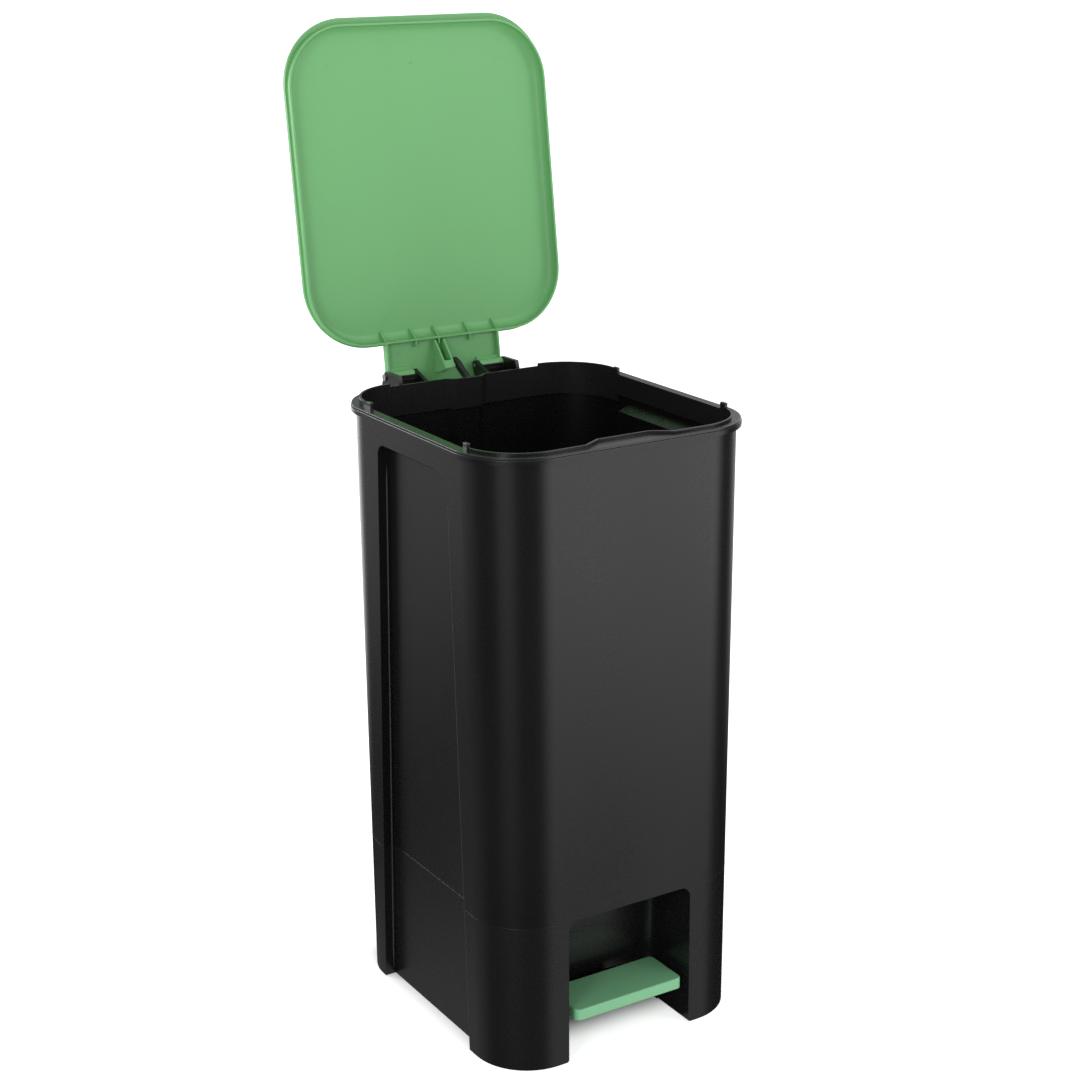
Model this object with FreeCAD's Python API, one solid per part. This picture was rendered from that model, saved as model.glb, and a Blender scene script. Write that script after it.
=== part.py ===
import FreeCAD, Part
import math
import os

os.makedirs("parts", exist_ok=True)
V = FreeCAD.Vector

# ---------------------------------------------------------------- driving dimensions, mm
# casing: tapered rounded box, widths at the floor and at the rim
RIM_Z = 600.0
RIM_W, RIM_D, RIM_R = 299.9, 312.2, 65.2      # outside of the rim flange
LIP = 4.9                                     # rim flange beyond the wall
BOT_W, BOT_R = 278.1, 57.0
BOT_FRONT_Y, BOT_REAR_Y = -155.8, 149.0
TOP_FRONT_Y, TOP_REAR_Y = -(RIM_D / 2 - LIP), RIM_D / 2 - LIP
TOP_W, TOP_R = RIM_W - 2 * LIP, RIM_R - LIP
WALL = 2.8
FLOOR_Z0, FLOOR_Z1 = 149.0, 152.0             # bin floor
# pedal niche
NICHE_HALF, NICHE_TOP, NICHE_R = 70.0, 147.7, 11.0
NICHE_BACK_Y, NICHE_CORNER_R = -89.0, 10.0
FOOT_R = 2.6
LEVER_SLOT_HALF, LEVER_SLOT_TOP = 34.0, 44.0
# side recess panels
REC_DEPTH = 11.5
REC_TOP_Z, REC_TOP_DRAFT = 573.5, 7.0
REC_FRONT_TOP_Y, REC_FRONT_BOT_Y = -68.0, -85.0
REC_REAR_TOP_Y, REC_REAR_BOT_Y = 63.0, 86.5
REC_R_FRONT, REC_R_REAR = 24.0, 12.0
# rear rod channel
CH_OUT, CH_IN, CH_Y = 21.0, 9.5, 144.3
# lid and hinge
HINGE_Y, HINGE_Z = 186.4, 604.05
LID_OPEN_DEG = 97.96
LID_W, LID_V0, LID_V1, LID_R = 289.5, 32.7, 346.1, 61.7
LID_OVER_SIDE, LID_OVER_FRONT, LID_OVER_R = 1.75, 6.5, 66.0
LID_STEP_W, LID_TOP_W, LID_CEIL_W = 6.5, 15.0, 13.0
SKIRT_T = 2.0
NECK_HALF, NECK_W0, NECK_W1 = 65.5, 5.3, 7.5
BARREL_R, BARREL_X0, BARREL_X1 = 5.2, 38.5, 65.5
PIN_R, PIN_CLEAR = 2.0, 0.05
TONGUE_HALF, TONGUE_V = 38.6, -12.0
LUG_X0, LUG_X1, LUG_T = -10.5, 1.5, 2.0
PIVOT_V, PIVOT_W, HOOK_R = 9.0, -10.35, 1.6
# lift rod
ROD_X0, ROD_X1, ROD_Y0, ROD_Y1 = 2.2, 7.2, 145.2, 149.0
GUIDE_Z = (120.0, 330.0, 540.0)
GUIDE_H = 12.0
# pedal lever
AXLE_Y, AXLE_Z, AXLE_R = 20.0, 30.0, 3.0
REAR_PIN_Y, REAR_PIN_Z = 129.51, 40.35
LEVER_HALF = 24.0
PAD_HALF, PAD_Y0, PAD_Y1, PAD_T, PAD_R = 61.5, -156.0, -103.0, 11.0, 6.0
PAD_TOP_BACK_Z, PAD_TILT = 52.0, 0.3
# where the finished parts are placed: origin on the floor under the middle of the whole object
Y_SHIFT = 46.6055

NODES = []


def save(name, shape):
    s = shape.copy()
    s.translate(V(0, -Y_SHIFT, 0))
    s.exportStep("parts/" + name + ".step")
    NODES.append((name, s))


def solid_of(shape):
    if len(shape.Solids) == 1:
        return shape.Solids[0]
    return shape


def box(x0, x1, y0, y1, z0, z1):
    return Part.makeBox(x1 - x0, y1 - y0, z1 - z0, V(x0, y0, z0))


def cyl_x(r, x0, x1, y, z):
    return Part.makeCylinder(r, x1 - x0, V(x0, y, z), V(1, 0, 0))


def cyl_z(r, x, y, z0, z1):
    return Part.makeCylinder(r, z1 - z0, V(x, y, z0), V(0, 0, 1))


def prism_x(pts, x0, x1):
    """polygon of (y, z) points drawn along X"""
    w = Part.makePolygon([V(x0, p[0], p[1]) for p in pts] + [V(x0, pts[0][0], pts[0][1])])
    return Part.Face(w).extrude(V(x1 - x0, 0, 0))


def prism_z(pts, z0, z1):
    w = Part.makePolygon([V(p[0], p[1], z0) for p in pts] + [V(pts[0][0], pts[0][1], z0)])
    return Part.Face(w).extrude(V(0, 0, z1 - z0))


def round_rect(x0, x1, y0, y1, r, z):
    """rounded rectangle wire, eight edges, started at the same place each time"""
    k = r * (1 - math.sqrt(0.5))
    e = []
    e.append(Part.makeLine(V(x0 + r, y0, z), V(x1 - r, y0, z)))
    e.append(Part.Arc(V(x1 - r, y0, z), V(x1 - k, y0 + k, z), V(x1, y0 + r, z)).toShape())
    e.append(Part.makeLine(V(x1, y0 + r, z), V(x1, y1 - r, z)))
    e.append(Part.Arc(V(x1, y1 - r, z), V(x1 - k, y1 - k, z), V(x1 - r, y1, z)).toShape())
    e.append(Part.makeLine(V(x1 - r, y1, z), V(x0 + r, y1, z)))
    e.append(Part.Arc(V(x0 + r, y1, z), V(x0 + k, y1 - k, z), V(x0, y1 - r, z)).toShape())
    e.append(Part.makeLine(V(x0, y1 - r, z), V(x0, y0 + r, z)))
    e.append(Part.Arc(V(x0, y0 + r, z), V(x0 + k, y0 + k, z), V(x0 + r, y0, z)).toShape())
    return Part.Wire(e)


def round_slab(x0, x1, y0, y1, r, z0, z1):
    return Part.Face(round_rect(x0, x1, y0, y1, r, z0)).extrude(V(0, 0, z1 - z0))


def lerp(a, b, t):
    return a + (b - a) * t


def wall_outline(z, inset):
    t = z / RIM_Z
    hw = lerp(BOT_W, TOP_W, t) / 2 - inset
    return round_rect(-hw, hw, lerp(BOT_FRONT_Y, TOP_FRONT_Y, t) + inset,
                      lerp(BOT_REAR_Y, TOP_REAR_Y, t) - inset, lerp(BOT_R, TOP_R, t) - inset, z)


def wall_solid(z0, z1, inset):
    return Part.makeLoft([wall_outline(z0, inset), wall_outline(z1, inset)], True, True)


def half_w(z):
    return lerp(BOT_W, TOP_W, z / RIM_Z) / 2


def recess(side, grow):
    """side recess: straight prism along X behind a sloped panel, with rounded top corners"""
    g = grow
    z_lo = -5.0
    zt = REC_TOP_Z + g

    def yf(z):
        return lerp(REC_FRONT_BOT_Y, REC_FRONT_TOP_Y, z / REC_TOP_Z) - g

    def yr(z):
        return lerp(REC_REAR_BOT_Y, REC_REAR_TOP_Y, z / REC_TOP_Z) + g

    rf, rb = REC_R_FRONT + g, REC_R_REAR + g
    pts = [(yf(z_lo), z_lo), (yf(zt - rf), zt - rf)]
    n = 10
    yc, zc = yf(zt - rf) + rf, zt - rf
    for i in range(1, n + 1):
        a = math.pi - (math.pi / 2) * i / n
        pts.append((yc + rf * math.cos(a), zc + rf * math.sin(a)))
    yc, zc = yr(zt - rb) - rb, zt - rb
    for i in range(0, n + 1):
        a = math.pi / 2 - (math.pi / 2) * i / n
        pts.append((yc + rb * math.cos(a), zc + rb * math.sin(a)))
    pts.append((yr(z_lo), z_lo))
    # the panel slopes with the wall, so the prism is cut by a sloped half space
    pr = prism_x(pts, 100.0, 170.0)
    d = REC_DEPTH + g
    lo, hi = -10.0, 620.0
    a0, a1 = half_w(lo) - d, half_w(hi) - d
    f = Part.Face(Part.makePolygon([V(a0, -200, lo), V(180, -200, lo), V(180, -200, hi), V(a1, -200, hi), V(a0, -200, lo)]))
    keep = f.extrude(V(0, 400, 0))
    # drafted top: the recess top slopes down towards the panel
    s0 = half_w(zt)
    top = prism_y([(s0 + 30, zt + 0.6 * 30), (s0 - d - 6, zt - (d + 6) * 0.6), (s0 - d - 6, zt + 60), (s0 + 30, zt + 60)], -200, 200)
    r = pr.common(keep).cut(top)
    if side < 0:
        r = r.mirror(V(0, 0, 0), V(1, 0, 0))
    return r


def prism_y(pts, y0, y1):
    """polygon of (x, z) points drawn along Y"""
    w = Part.makePolygon([V(p[0], y0, p[1]) for p in pts] + [V(pts[0][0], y0, pts[0][1])])
    return Part.Face(w).extrude(V(0, y1 - y0, 0))


def channel(grow, z0, z1):
    """rear rod channel, a trapezoid open to the back"""
    g = grow
    return prism_z([(-CH_OUT - g - 12, 158), (-CH_OUT - g, TOP_REAR_Y + 0.3), (-CH_IN - g, CH_Y - g), (CH_IN + g, CH_Y - g),
                    (CH_OUT + g, TOP_REAR_Y + 0.3), (CH_OUT + g + 12, 158)], z0, z1)


# ---------------------------------------------------------------- casing
outer = wall_solid(0, RIM_Z, 0)
cavity = wall_solid(FLOOR_Z1, RIM_Z + 1, WALL)
under = wall_solid(-1, FLOOR_Z0, WALL)
for s in (-1, 1):
    r_out, r_in = recess(s, 0), recess(s, WALL)
    outer = outer.cut(r_out)
    cavity = cavity.cut(r_in)
    under = under.cut(r_in)
ch_out, ch_in = channel(0, -2, RIM_Z + 2), channel(WALL, -2, RIM_Z + 2)
outer = outer.cut(ch_out)
cavity = cavity.cut(ch_in)
under = under.cut(ch_in)
casing = outer.cut(cavity).cut(under)

# rim flange with a turned-down edge; it stops at the rod channel
rim = round_slab(-RIM_W / 2, RIM_W / 2, -RIM_D / 2, RIM_D / 2, RIM_R, RIM_Z - 5.0, RIM_Z)
edges = [e for e in rim.Edges if abs(e.BoundBox.ZMin - RIM_Z) < 1e-6 and abs(e.BoundBox.ZMax - RIM_Z) < 1e-6]
rim = rim.makeFillet(1.0, edges)
rim = rim.cut(round_slab(-RIM_W / 2 + 1.9, RIM_W / 2 - 1.9, -RIM_D / 2 + 1.9, RIM_D / 2 - 1.9, RIM_R - 1.9, RIM_Z - 6.0, RIM_Z - 2.4))
rim = rim.cut(wall_solid(RIM_Z - 8, RIM_Z + 1, 1.0))
rim = rim.cut(channel(0, RIM_Z - 8, RIM_Z + 2))
# the turned-down edge is left out where the hinge blocks stand
rim = rim.cut(box(-73, 73, 151.0, 160, RIM_Z - 8, RIM_Z - 2.4))
casing = casing.fuse(rim)

# pedal niche: side walls, back wall, opening through the front
nb = round_slab(-NICHE_HALF - WALL, NICHE_HALF + WALL, -175, NICHE_BACK_Y + WALL, NICHE_CORNER_R + WALL, 0, FLOOR_Z0 + 0.5)
nb = nb.common(wall_solid(0, FLOOR_Z0 + 0.5, 0.5))
casing = casing.fuse(nb)
ni = round_slab(-NICHE_HALF, NICHE_HALF, -200, NICHE_BACK_Y, NICHE_CORNER_R, -2, FLOOR_Z0)
keep_lintel = wall_solid(NICHE_TOP, FLOOR_Z0 + 5, 0).cut(wall_solid(NICHE_TOP - 1, FLOOR_Z0 + 6, WALL))
ni = ni.cut(keep_lintel)
corner = None
for s in (-1, 1):
    x0 = s * NICHE_HALF
    xc = s * (NICHE_HALF - NICHE_R)
    b = box(min(x0, xc), max(x0, xc), -201, -144, NICHE_TOP - NICHE_R, NICHE_TOP + 1)
    b = b.cut(Part.makeCylinder(NICHE_R, 60, V(xc, -202, NICHE_TOP - NICHE_R), V(0, 1, 0)))
    corner = b if corner is None else corner.fuse(b)
band = wall_solid(0, FLOOR_Z0 + 5, 0).cut(wall_solid(-1, FLOOR_Z0 + 6, WALL))
ni = ni.cut(corner.common(band))
casing = casing.cut(ni)
casing = casing.cut(box(-LEVER_SLOT_HALF, LEVER_SLOT_HALF, NICHE_BACK_Y - 4, NICHE_BACK_Y + 8, -2, LEVER_SLOT_TOP))
# rounded inner edge under each front foot
for s in (-1, 1):
    arc = [(s * (NICHE_HALF + FOOT_R * (1 - math.cos(math.radians(q)))), FOOT_R * (1 - math.sin(math.radians(q)))) for q in (0, 18, 36, 54, 72, 86)]
    pts = [(s * (NICHE_HALF - 0.5), -0.5), (s * (NICHE_HALF - 0.5), FOOT_R)] + arc + [(s * (NICHE_HALF + FOOT_R * 0.97), -0.5)]
    casing = casing.cut(prism_y(pts, -170, -102))
# slot for the foot of the lift rod, low in the channel floor
casing = casing.cut(box(1.2, 8.2, CH_Y - WALL - 2, CH_Y + 2, -2, 47.0))

# axle pylons under the floor
for s in (-1, 1):
    xa, xb = (28.0, 36.0) if s > 0 else (-36.0, -28.0)
    pyl = box(xa, xb, AXLE_Y - 20, AXLE_Y + 20, AXLE_Z, AXLE_Z + 14)
    pyl = pyl.fuse(box(xa + 2.5, xb - 2.5, AXLE_Y - 20, AXLE_Y + 20, AXLE_Z + 10, FLOOR_Z0 + 1))
    pyl = pyl.fuse(box(xa, xb, AXLE_Y - 20, AXLE_Y - 17, AXLE_Z + 10, FLOOR_Z0 + 1))
    pyl = pyl.fuse(box(xa, xb, AXLE_Y + 17, AXLE_Y + 20, AXLE_Z + 10, FLOOR_Z0 + 1))
    pyl = pyl.cut(cyl_x(AXLE_R, xa - 1, xb + 1, AXLE_Y, AXLE_Z))
    for dy in (-12.5, 12.5):
        pyl = pyl.cut(cyl_z(1.5, (xa + xb) / 2, AXLE_Y + dy, AXLE_Z - 1, AXLE_Z + 10))
    casing = casing.fuse(pyl)
# pilot holes of the hinge block screws
BLOCK_SCREW_Z = 577.0
BLOCK_SCREW_X = (44.5, 59.5)
for s in (-1, 1):
    for bx in BLOCK_SCREW_X:
        casing = casing.cut(Part.makeCylinder(1.5, 12, V(s * bx, 145, BLOCK_SCREW_Z), V(0, 1, 0)))
casing = casing.removeSplitter()
save("casing", solid_of(casing))

# ---------------------------------------------------------------- hinge blocks, pins, screws
FACE_Y = 151.25
outer_cheek = [(FACE_Y, 566), (FACE_Y, 596.4), (156.6, 596.4), (156.6, 602.5), (159, 610.2), (187.6, 609.6), (194, 595.5), (190, 588), (155.5, 566)]
inner_cheek = [(FACE_Y, 566), (FACE_Y, 596.4), (156.6, 596.4), (156.6, 598.6), (184.3, 608.5), (190.4, 601.2), (186, 592), (155.5, 566)]


def hinge_block(s):
    def mx(a, b):
        return (a, b) if s > 0 else (-b, -a)
    x0, x1 = mx(34.0, 38.0)
    ic = prism_x(inner_cheek, x0, x1).fuse(cyl_x(5.0, x0, x1, HINGE_Y, HINGE_Z))
    far = cyl_x(5.0, x0 - 1, x1 + 1, HINGE_Y, HINGE_Z)
    trim = box(x0 - 1, x1 + 1, HINGE_Y - 1.5, 200, 590, 620).cut(far).cut(box(x0 - 2, x1 + 2, 180, 200, 580, HINGE_Z - 1))
    ic = ic.cut(trim)
    x0, x1 = mx(66.0, 70.0)
    oc = prism_x(outer_cheek, x0, x1)
    x0, x1 = mx(37.0, 67.0)
    plate = box(x0, x1, FACE_Y, FACE_Y + 4.0, 566, 596.4)
    shelf = prism_x([(FACE_Y + 1, 583.5), (FACE_Y + 1, 586.5), (176.0, 594.6), (176.0, 601.8), (178.8, 601.8), (178.8, 592.2)], x0, x1)
    x0, x1 = mx(37.5, 62.5)
    lip = box(x0, x1, 176.8, 178.8, 601.0, 605.6)
    b = ic.fuse(oc).fuse(plate).fuse(shelf).fuse(lip)
    b = b.cut(cyl_x(PIN_R, -80 if s < 0 else 30, -30 if s < 0 else 80, HINGE_Y, HINGE_Z))
    for bx in BLOCK_SCREW_X:
        b = b.cut(Part.makeCylinder(1.75, 12, V(s * bx, 148, BLOCK_SCREW_Z), V(0, 1, 0)))
    return solid_of(b.removeSplitter())


save("hinge_block_left", hinge_block(-1))
save("hinge_block_right", hinge_block(1))
for s, nm in ((-1, "hinge_pin_left"), (1, "hinge_pin_right")):
    if s > 0:
        p = cyl_x(PIN_R, 33.4, 70.0, HINGE_Y, HINGE_Z).fuse(cyl_x(3.4, 70.0, 71.6, HINGE_Y, HINGE_Z))
    else:
        p = cyl_x(PIN_R, -70.0, -33.4, HINGE_Y, HINGE_Z).fuse(cyl_x(3.4, -71.6, -70.0, HINGE_Y, HINGE_Z))
    save(nm, solid_of(p.removeSplitter()))
scr = []
for s in (-1, 1):
    for bx in BLOCK_SCREW_X:
        a = Part.makeCylinder(1.5, FACE_Y + 4.0 - 148.6, V(s * bx, 148.6, BLOCK_SCREW_Z), V(0, 1, 0))
        a = a.fuse(Part.makeCylinder(3.2, 2.0, V(s * bx, FACE_Y + 4.0, BLOCK_SCREW_Z), V(0, 1, 0)))
        a = a.cut(box(s * bx - 2.2, s * bx + 2.2, FACE_Y + 5.2, FACE_Y + 7, BLOCK_SCREW_Z - 0.45, BLOCK_SCREW_Z + 0.45))
        a = a.cut(box(s * bx - 0.45, s * bx + 0.45, FACE_Y + 5.2, FACE_Y + 7, BLOCK_SCREW_Z - 2.2, BLOCK_SCREW_Z + 2.2))
        scr.append(solid_of(a.removeSplitter()))
save("hinge_block_screws", Part.makeCompound(scr))

# ---------------------------------------------------------------- bag ring
RB_W, RB_F, RB_R = 141.5, -148.0, 147.9       # outside of the band
RB_T, RB_CR = 2.2, 56.8
FL_Z0, FL_Z1 = 600.2, 602.0


def ring_plan(inset, z0, z1):
    """band plan with the front finger jog and the bump round the rod channel"""
    body = round_slab(-RB_W + inset, RB_W - inset, RB_F + inset, RB_R - inset, RB_CR - inset, z0, z1)
    k = inset * 0.55
    jog = prism_z([(-47 - k, -170), (-47 - k, RB_F + inset), (-27 - k, RB_F + 12.0 + inset), (27 + k, RB_F + 12.0 + inset), (47 + k, RB_F + inset), (47 + k, -170)], z0, z1)
    bump = prism_z([(-21.8 - k, 170), (-21.8 - k, RB_R - inset), (-12.6 - k, CH_Y - WALL - 0.5 - inset), (12.6 + k, CH_Y - WALL - 0.5 - inset), (21.8 + k, RB_R - inset), (21.8 + k, 170)], z0, z1)
    return body.cut(jog).cut(bump)


band_lo = ring_plan(0, 574.0, 604.5).cut(ring_plan(RB_T, 573.0, 606.0))
# raised rear corners
band_hi = ring_plan(0, 604.0, 607.3).cut(ring_plan(RB_T, 603.0, 608.0))
band_hi = band_hi.common(box(-200, -86, 84, 200, 600, 610).fuse(box(86, 200, 84, 200, 600, 610)))
band = band_lo.fuse(band_hi)
# the sides are low and flat between the four end knobs, and short above the side recesses
for s in (-1, 1):
    a, b = (120, 160) if s > 0 else (-160, -120)
    band = band.cut(box(a, b, -93.0, 80.0, FL_Z1 - 0.2, 612))
    band = band.cut(box(a, b, -93.0, 80.0, 570, 581.0))
flange = round_slab(-RIM_W / 2 + 0.7, RIM_W / 2 - 0.7, -RIM_D / 2 + 0.7, RIM_D / 2 - 0.7, RIM_R - 0.7, FL_Z0, FL_Z1)
fe = [e for e in flange.Edges if abs(e.BoundBox.ZMin - FL_Z1) < 1e-6 and abs(e.BoundBox.ZMax - FL_Z1) < 1e-6]
flange = flange.makeFillet(0.8, fe)
flange = flange.cut(ring_plan(RB_T, FL_Z0 - 1, FL_Z1 + 1))
flange = flange.cut(prism_z([(-24, 170), (-24, TOP_REAR_Y), (-13.6, CH_Y - 2.6), (13.6, CH_Y - 2.6), (24, TOP_REAR_Y), (24, 170)], FL_Z0 - 1, FL_Z1 + 1))
ring = band.fuse(flange)
for s in (-1, 1):
    for y0, y1 in ((-101.0, -93.0), (80.0, 88.0)):
        a, b = (138.4, 142.2) if s > 0 else (-142.2, -138.4)
        kn = box(a, b, y0, y1, FL_Z1 - 0.6, 608.6)
        ve = [e for e in kn.Edges if e.BoundBox.ZMax > 608.5]
        kn = kn.makeFillet(0.9, ve)
        ring = ring.fuse(kn)
ring = ring.removeSplitter()
save("bag_ring", solid_of(ring))

# ---------------------------------------------------------------- lid, drawn closed, then opened


def vy(v):
    return HINGE_Y - v


def wz(w):
    return HINGE_Z + w


skirt = round_slab(-LID_W / 2, LID_W / 2, vy(LID_V1), vy(LID_V0), LID_R, wz(0), wz(LID_STEP_W + 1))
cap = round_slab(-LID_W / 2 - LID_OVER_SIDE, LID_W / 2 + LID_OVER_SIDE, vy(LID_V1 + LID_OVER_FRONT), vy(LID_V0 - LID_OVER_SIDE), LID_OVER_R,
                 wz(LID_STEP_W), wz(LID_TOP_W))
ce = [e for e in cap.Edges if abs(e.BoundBox.ZMin - wz(LID_TOP_W)) < 1e-6 and abs(e.BoundBox.ZMax - wz(LID_TOP_W)) < 1e-6]
cap = cap.makeFillet(6.0, ce)
hollow = round_slab(-LID_W / 2 + SKIRT_T, LID_W / 2 - SKIRT_T, vy(LID_V1 - SKIRT_T), vy(LID_V0 + SKIRT_T), LID_R - SKIRT_T, wz(-1), wz(LID_CEIL_W))
he = [e for e in hollow.Edges if abs(e.BoundBox.ZMin - wz(LID_CEIL_W)) < 1e-6 and abs(e.BoundBox.ZMax - wz(LID_CEIL_W)) < 1e-6]
hollow = hollow.makeFillet(9.0, he)
lid = skirt.fuse(cap).cut(hollow)
# neck plate, side flanges, barrels and tongue
neck = box(-NECK_HALF, NECK_HALF, vy(LID_V0 + 1), vy(6.5), wz(NECK_W0), wz(NECK_W1))
neck = neck.fuse(box(-TONGUE_HALF, TONGUE_HALF, vy(8), vy(TONGUE_V), wz(NECK_W0), wz(NECK_W1)))
for s in (-1, 1):
    a, b = (NECK_HALF - 2.0, NECK_HALF) if s > 0 else (-NECK_HALF, -NECK_HALF + 2.0)
    neck = neck.fuse(prism_x([(vy(LID_V0 + 1), wz(0)), (vy(3), wz(0)), (vy(3), wz(NECK_W1)), (vy(LID_V0 + 1), wz(NECK_W1))], a, b))
    a, b = (BARREL_X0, BARREL_X1) if s > 0 else (-BARREL_X1, -BARREL_X0)
    neck = neck.fuse(cyl_x(BARREL_R, a, b, HINGE_Y, HINGE_Z))
    neck = neck.fuse(box(a, b, vy(8), vy(-2), wz(2), wz(NECK_W1)))
# gussets across the rear skirt
for gx in (-64.75, -31.0, -4.5, 32.0, 64.75):
    g = prism_x([(vy(LID_V0 + SKIRT_T - 0.5), wz(0.4)), (vy(46), wz(LID_CEIL_W + 0.5)), (vy(LID_V0 + SKIRT_T - 0.5), wz(LID_CEIL_W + 0.5))], gx - 0.75, gx + 0.75)
    g2 = prism_x([(vy(LID_V0 + 0.5), wz(0.4)), (vy(27), wz(0.8)), (vy(27), wz(NECK_W0 + 0.5)), (vy(LID_V0 + 0.5), wz(NECK_W0 + 0.5))], gx - 0.75, gx + 0.75)
    neck = neck.fuse(g).fuse(g2)
# lug: two cheeks and a closed tip
lug_out = [(31.0, NECK_W0 + 0.5), (31.0, 0.3), (5.2, -18.0), (3.2, -18.2), (1.6, -16.6), (-1.5, -2.4), (-2.5, NECK_W0 + 0.5)]
cheek = [(vy(v), wz(w)) for v, w in lug_out]
lug = prism_x(cheek, LUG_X0, LUG_X0 + LUG_T).fuse(prism_x(cheek, LUG_X1 - LUG_T, LUG_X1))
tip = [(10.5, -14.25), (5.2, -18.0), (3.2, -18.2), (1.6, -16.6), (0.6, -12.0), (2.4, -11.6), (3.4, -15.6), (4.3, -16.1), (9.6, -12.5)]
lug = lug.fuse(prism_x([(vy(v), wz(w)) for v, w in tip], LUG_X0, LUG_X1))
# slot for the rod hook in the right cheek
rr = math.hypot(PIVOT_V, PIVOT_W)
dv, dw = PIVOT_V / rr, PIVOT_W / rr
SLOT_H = 3.0
r_a, r_b = 8.6, rr - 1.05
c0, c1 = (dv * r_a, dw * r_a), (dv * r_b, dw * r_b)
nv, nw = -dw * SLOT_H, dv * SLOT_H
x0, x1 = LUG_X1 - LUG_T - 0.3, LUG_X1 + 0.3
slot = prism_x([(vy(c0[0] + nv), wz(c0[1] + nw)), (vy(c1[0] + nv), wz(c1[1] + nw)), (vy(c1[0] - nv), wz(c1[1] - nw)), (vy(c0[0] - nv), wz(c0[1] - nw))], x0, x1)
slot = slot.fuse(cyl_x(SLOT_H, x0, x1, vy(c0[0]), wz(c0[1]))).fuse(cyl_x(SLOT_H, x0, x1, vy(c1[0]), wz(c1[1])))
lid = lid.fuse(neck).fuse(lug).cut(slot)
for s in (-1, 1):
    a, b = (30, 70) if s > 0 else (-70, -30)
    lid = lid.cut(cyl_x(PIN_R + PIN_CLEAR, a, b, HINGE_Y, HINGE_Z))
lid = solid_of(lid.removeSplitter())
lid.rotate(V(0, HINGE_Y, HINGE_Z), V(1, 0, 0), -LID_OPEN_DEG)
save("lid", lid)

# ---------------------------------------------------------------- lift rod, drawn raised
a = math.radians(LID_OPEN_DEG)
PIV_Y = HINGE_Y + (-PIVOT_V) * math.cos(a) + PIVOT_W * math.sin(a)
PIV_Z = HINGE_Z + PIVOT_V * math.sin(a) + PIVOT_W * math.cos(a)
ROD_RISE = PIV_Z - (HINGE_Z + PIVOT_W)
stem = box(ROD_X0, ROD_X1, ROD_Y0, ROD_Y1, REAR_PIN_Z - 3.2, 592.0)
arm = prism_x([(ROD_Y0, 590), (ROD_Y0, 596), (146.6, 601.5), (150.5, 605.0), (159, 609.0), (168.5, 615.3), (PIV_Y - 2.0, PIV_Z + 3.2), (PIV_Y + 1, PIV_Z - 3.2),
               (172.5, 610.0), (162, 603.5), (152.5, 599.6), (150.0, 596.5), (ROD_Y1, 590)], ROD_X0, ROD_X1)
boss = cyl_x(3.5, ROD_X0, ROD_X1, PIV_Y, PIV_Z)
hook = cyl_x(HOOK_R, -5.5, ROD_X0 + 1, PIV_Y, PIV_Z)
foot = box(ROD_X0, ROD_X1, REAR_PIN_Y, ROD_Y1, REAR_PIN_Z - 3.2, REAR_PIN_Z + 3.2)
eye = cyl_x(4.6, ROD_X0, ROD_X1, REAR_PIN_Y, REAR_PIN_Z)
rod = stem.fuse(arm).fuse(boss).fuse(hook).fuse(foot).fuse(eye)
EYE_R, EYE_PLAY = 2.35, 0.6
eh = cyl_x(EYE_R, ROD_X0 - 1, ROD_X1 + 1, REAR_PIN_Y - 0.1, REAR_PIN_Z).fuse(cyl_x(EYE_R, ROD_X0 - 1, ROD_X1 + 1, REAR_PIN_Y + EYE_PLAY, REAR_PIN_Z))
eh = eh.fuse(box(ROD_X0 - 1, ROD_X1 + 1, REAR_PIN_Y - 0.1, REAR_PIN_Y + EYE_PLAY, REAR_PIN_Z - EYE_R, REAR_PIN_Z + EYE_R))
rod = rod.cut(eh)
save("lift_rod", solid_of(rod.removeSplitter()))

# rod guides snapped into the channel
for nm, gz in zip(("rod_guide_lower", "rod_guide_middle", "rod_guide_upper"), GUIDE_Z):
    g = channel(0, gz, gz + GUIDE_H).common(wall_solid(gz, gz + GUIDE_H, 0))
    g = g.cut(box(ROD_X0 - 0.35, ROD_X1 + 0.35, ROD_Y0 - 0.35, ROD_Y1 + 0.35, gz - 1, gz + GUIDE_H + 1))
    g = g.cut(box(ROD_X0 + 0.6, ROD_X1 - 0.6, ROD_Y1 - 1, 160, gz - 1, gz + GUIDE_H + 1))
    save(nm, solid_of(g.removeSplitter()))

# ---------------------------------------------------------------- pedal lever, drawn pressed
side = [(112, 44.6), (60, 42.0), (20, 39.5), (-30, 32.5), (-74, 21.6), (-97, 21.6), (-106.5, 48.1), (-150.5, 51.2), (-150.5, 45.0), (-115, 41.5), (-104.5, 13.0),
        (-70, 13.0), (-25, 20.0), (10, 22.0), (30, 23.0), (60, 30.0), (112, 35.6)]
plan = [(-LEVER_HALF, -160), (LEVER_HALF, -160), (LEVER_HALF, 50), (11.2, 112), (-1.8, 112), (-LEVER_HALF, 50)]
planin = [(-LEVER_HALF + 3, -147.5), (LEVER_HALF - 3, -147.5), (LEVER_HALF - 3, 48), (8.4, 106), (1.0, 106), (-LEVER_HALF + 3, 48)]
lev = prism_x(side, -30, 30).common(prism_z(plan, -5, 90))
lin = prism_x([(y - 2.4, z - 3.0) for y, z in side[:8]] + [(-153, 5), (-153, -20), (112, -20)], -30, 30).common(prism_z(planin, -30, 90))
lev = lev.cut(lin)
lev = lev.fuse(cyl_x(8.0, -LEVER_HALF - 2, LEVER_HALF + 2, AXLE_Y, AXLE_Z))
tine = [(100, 36.2), (100, 44.2), (REAR_PIN_Y, REAR_PIN_Z + 4.4), (REAR_PIN_Y, REAR_PIN_Z - 4.4), (112, 35.4)]
lever_block = prism_x([(98, 36.5), (98, 43.5), (113, 44.6), (113, 35.8)], -1.8, 11.2)
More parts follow.
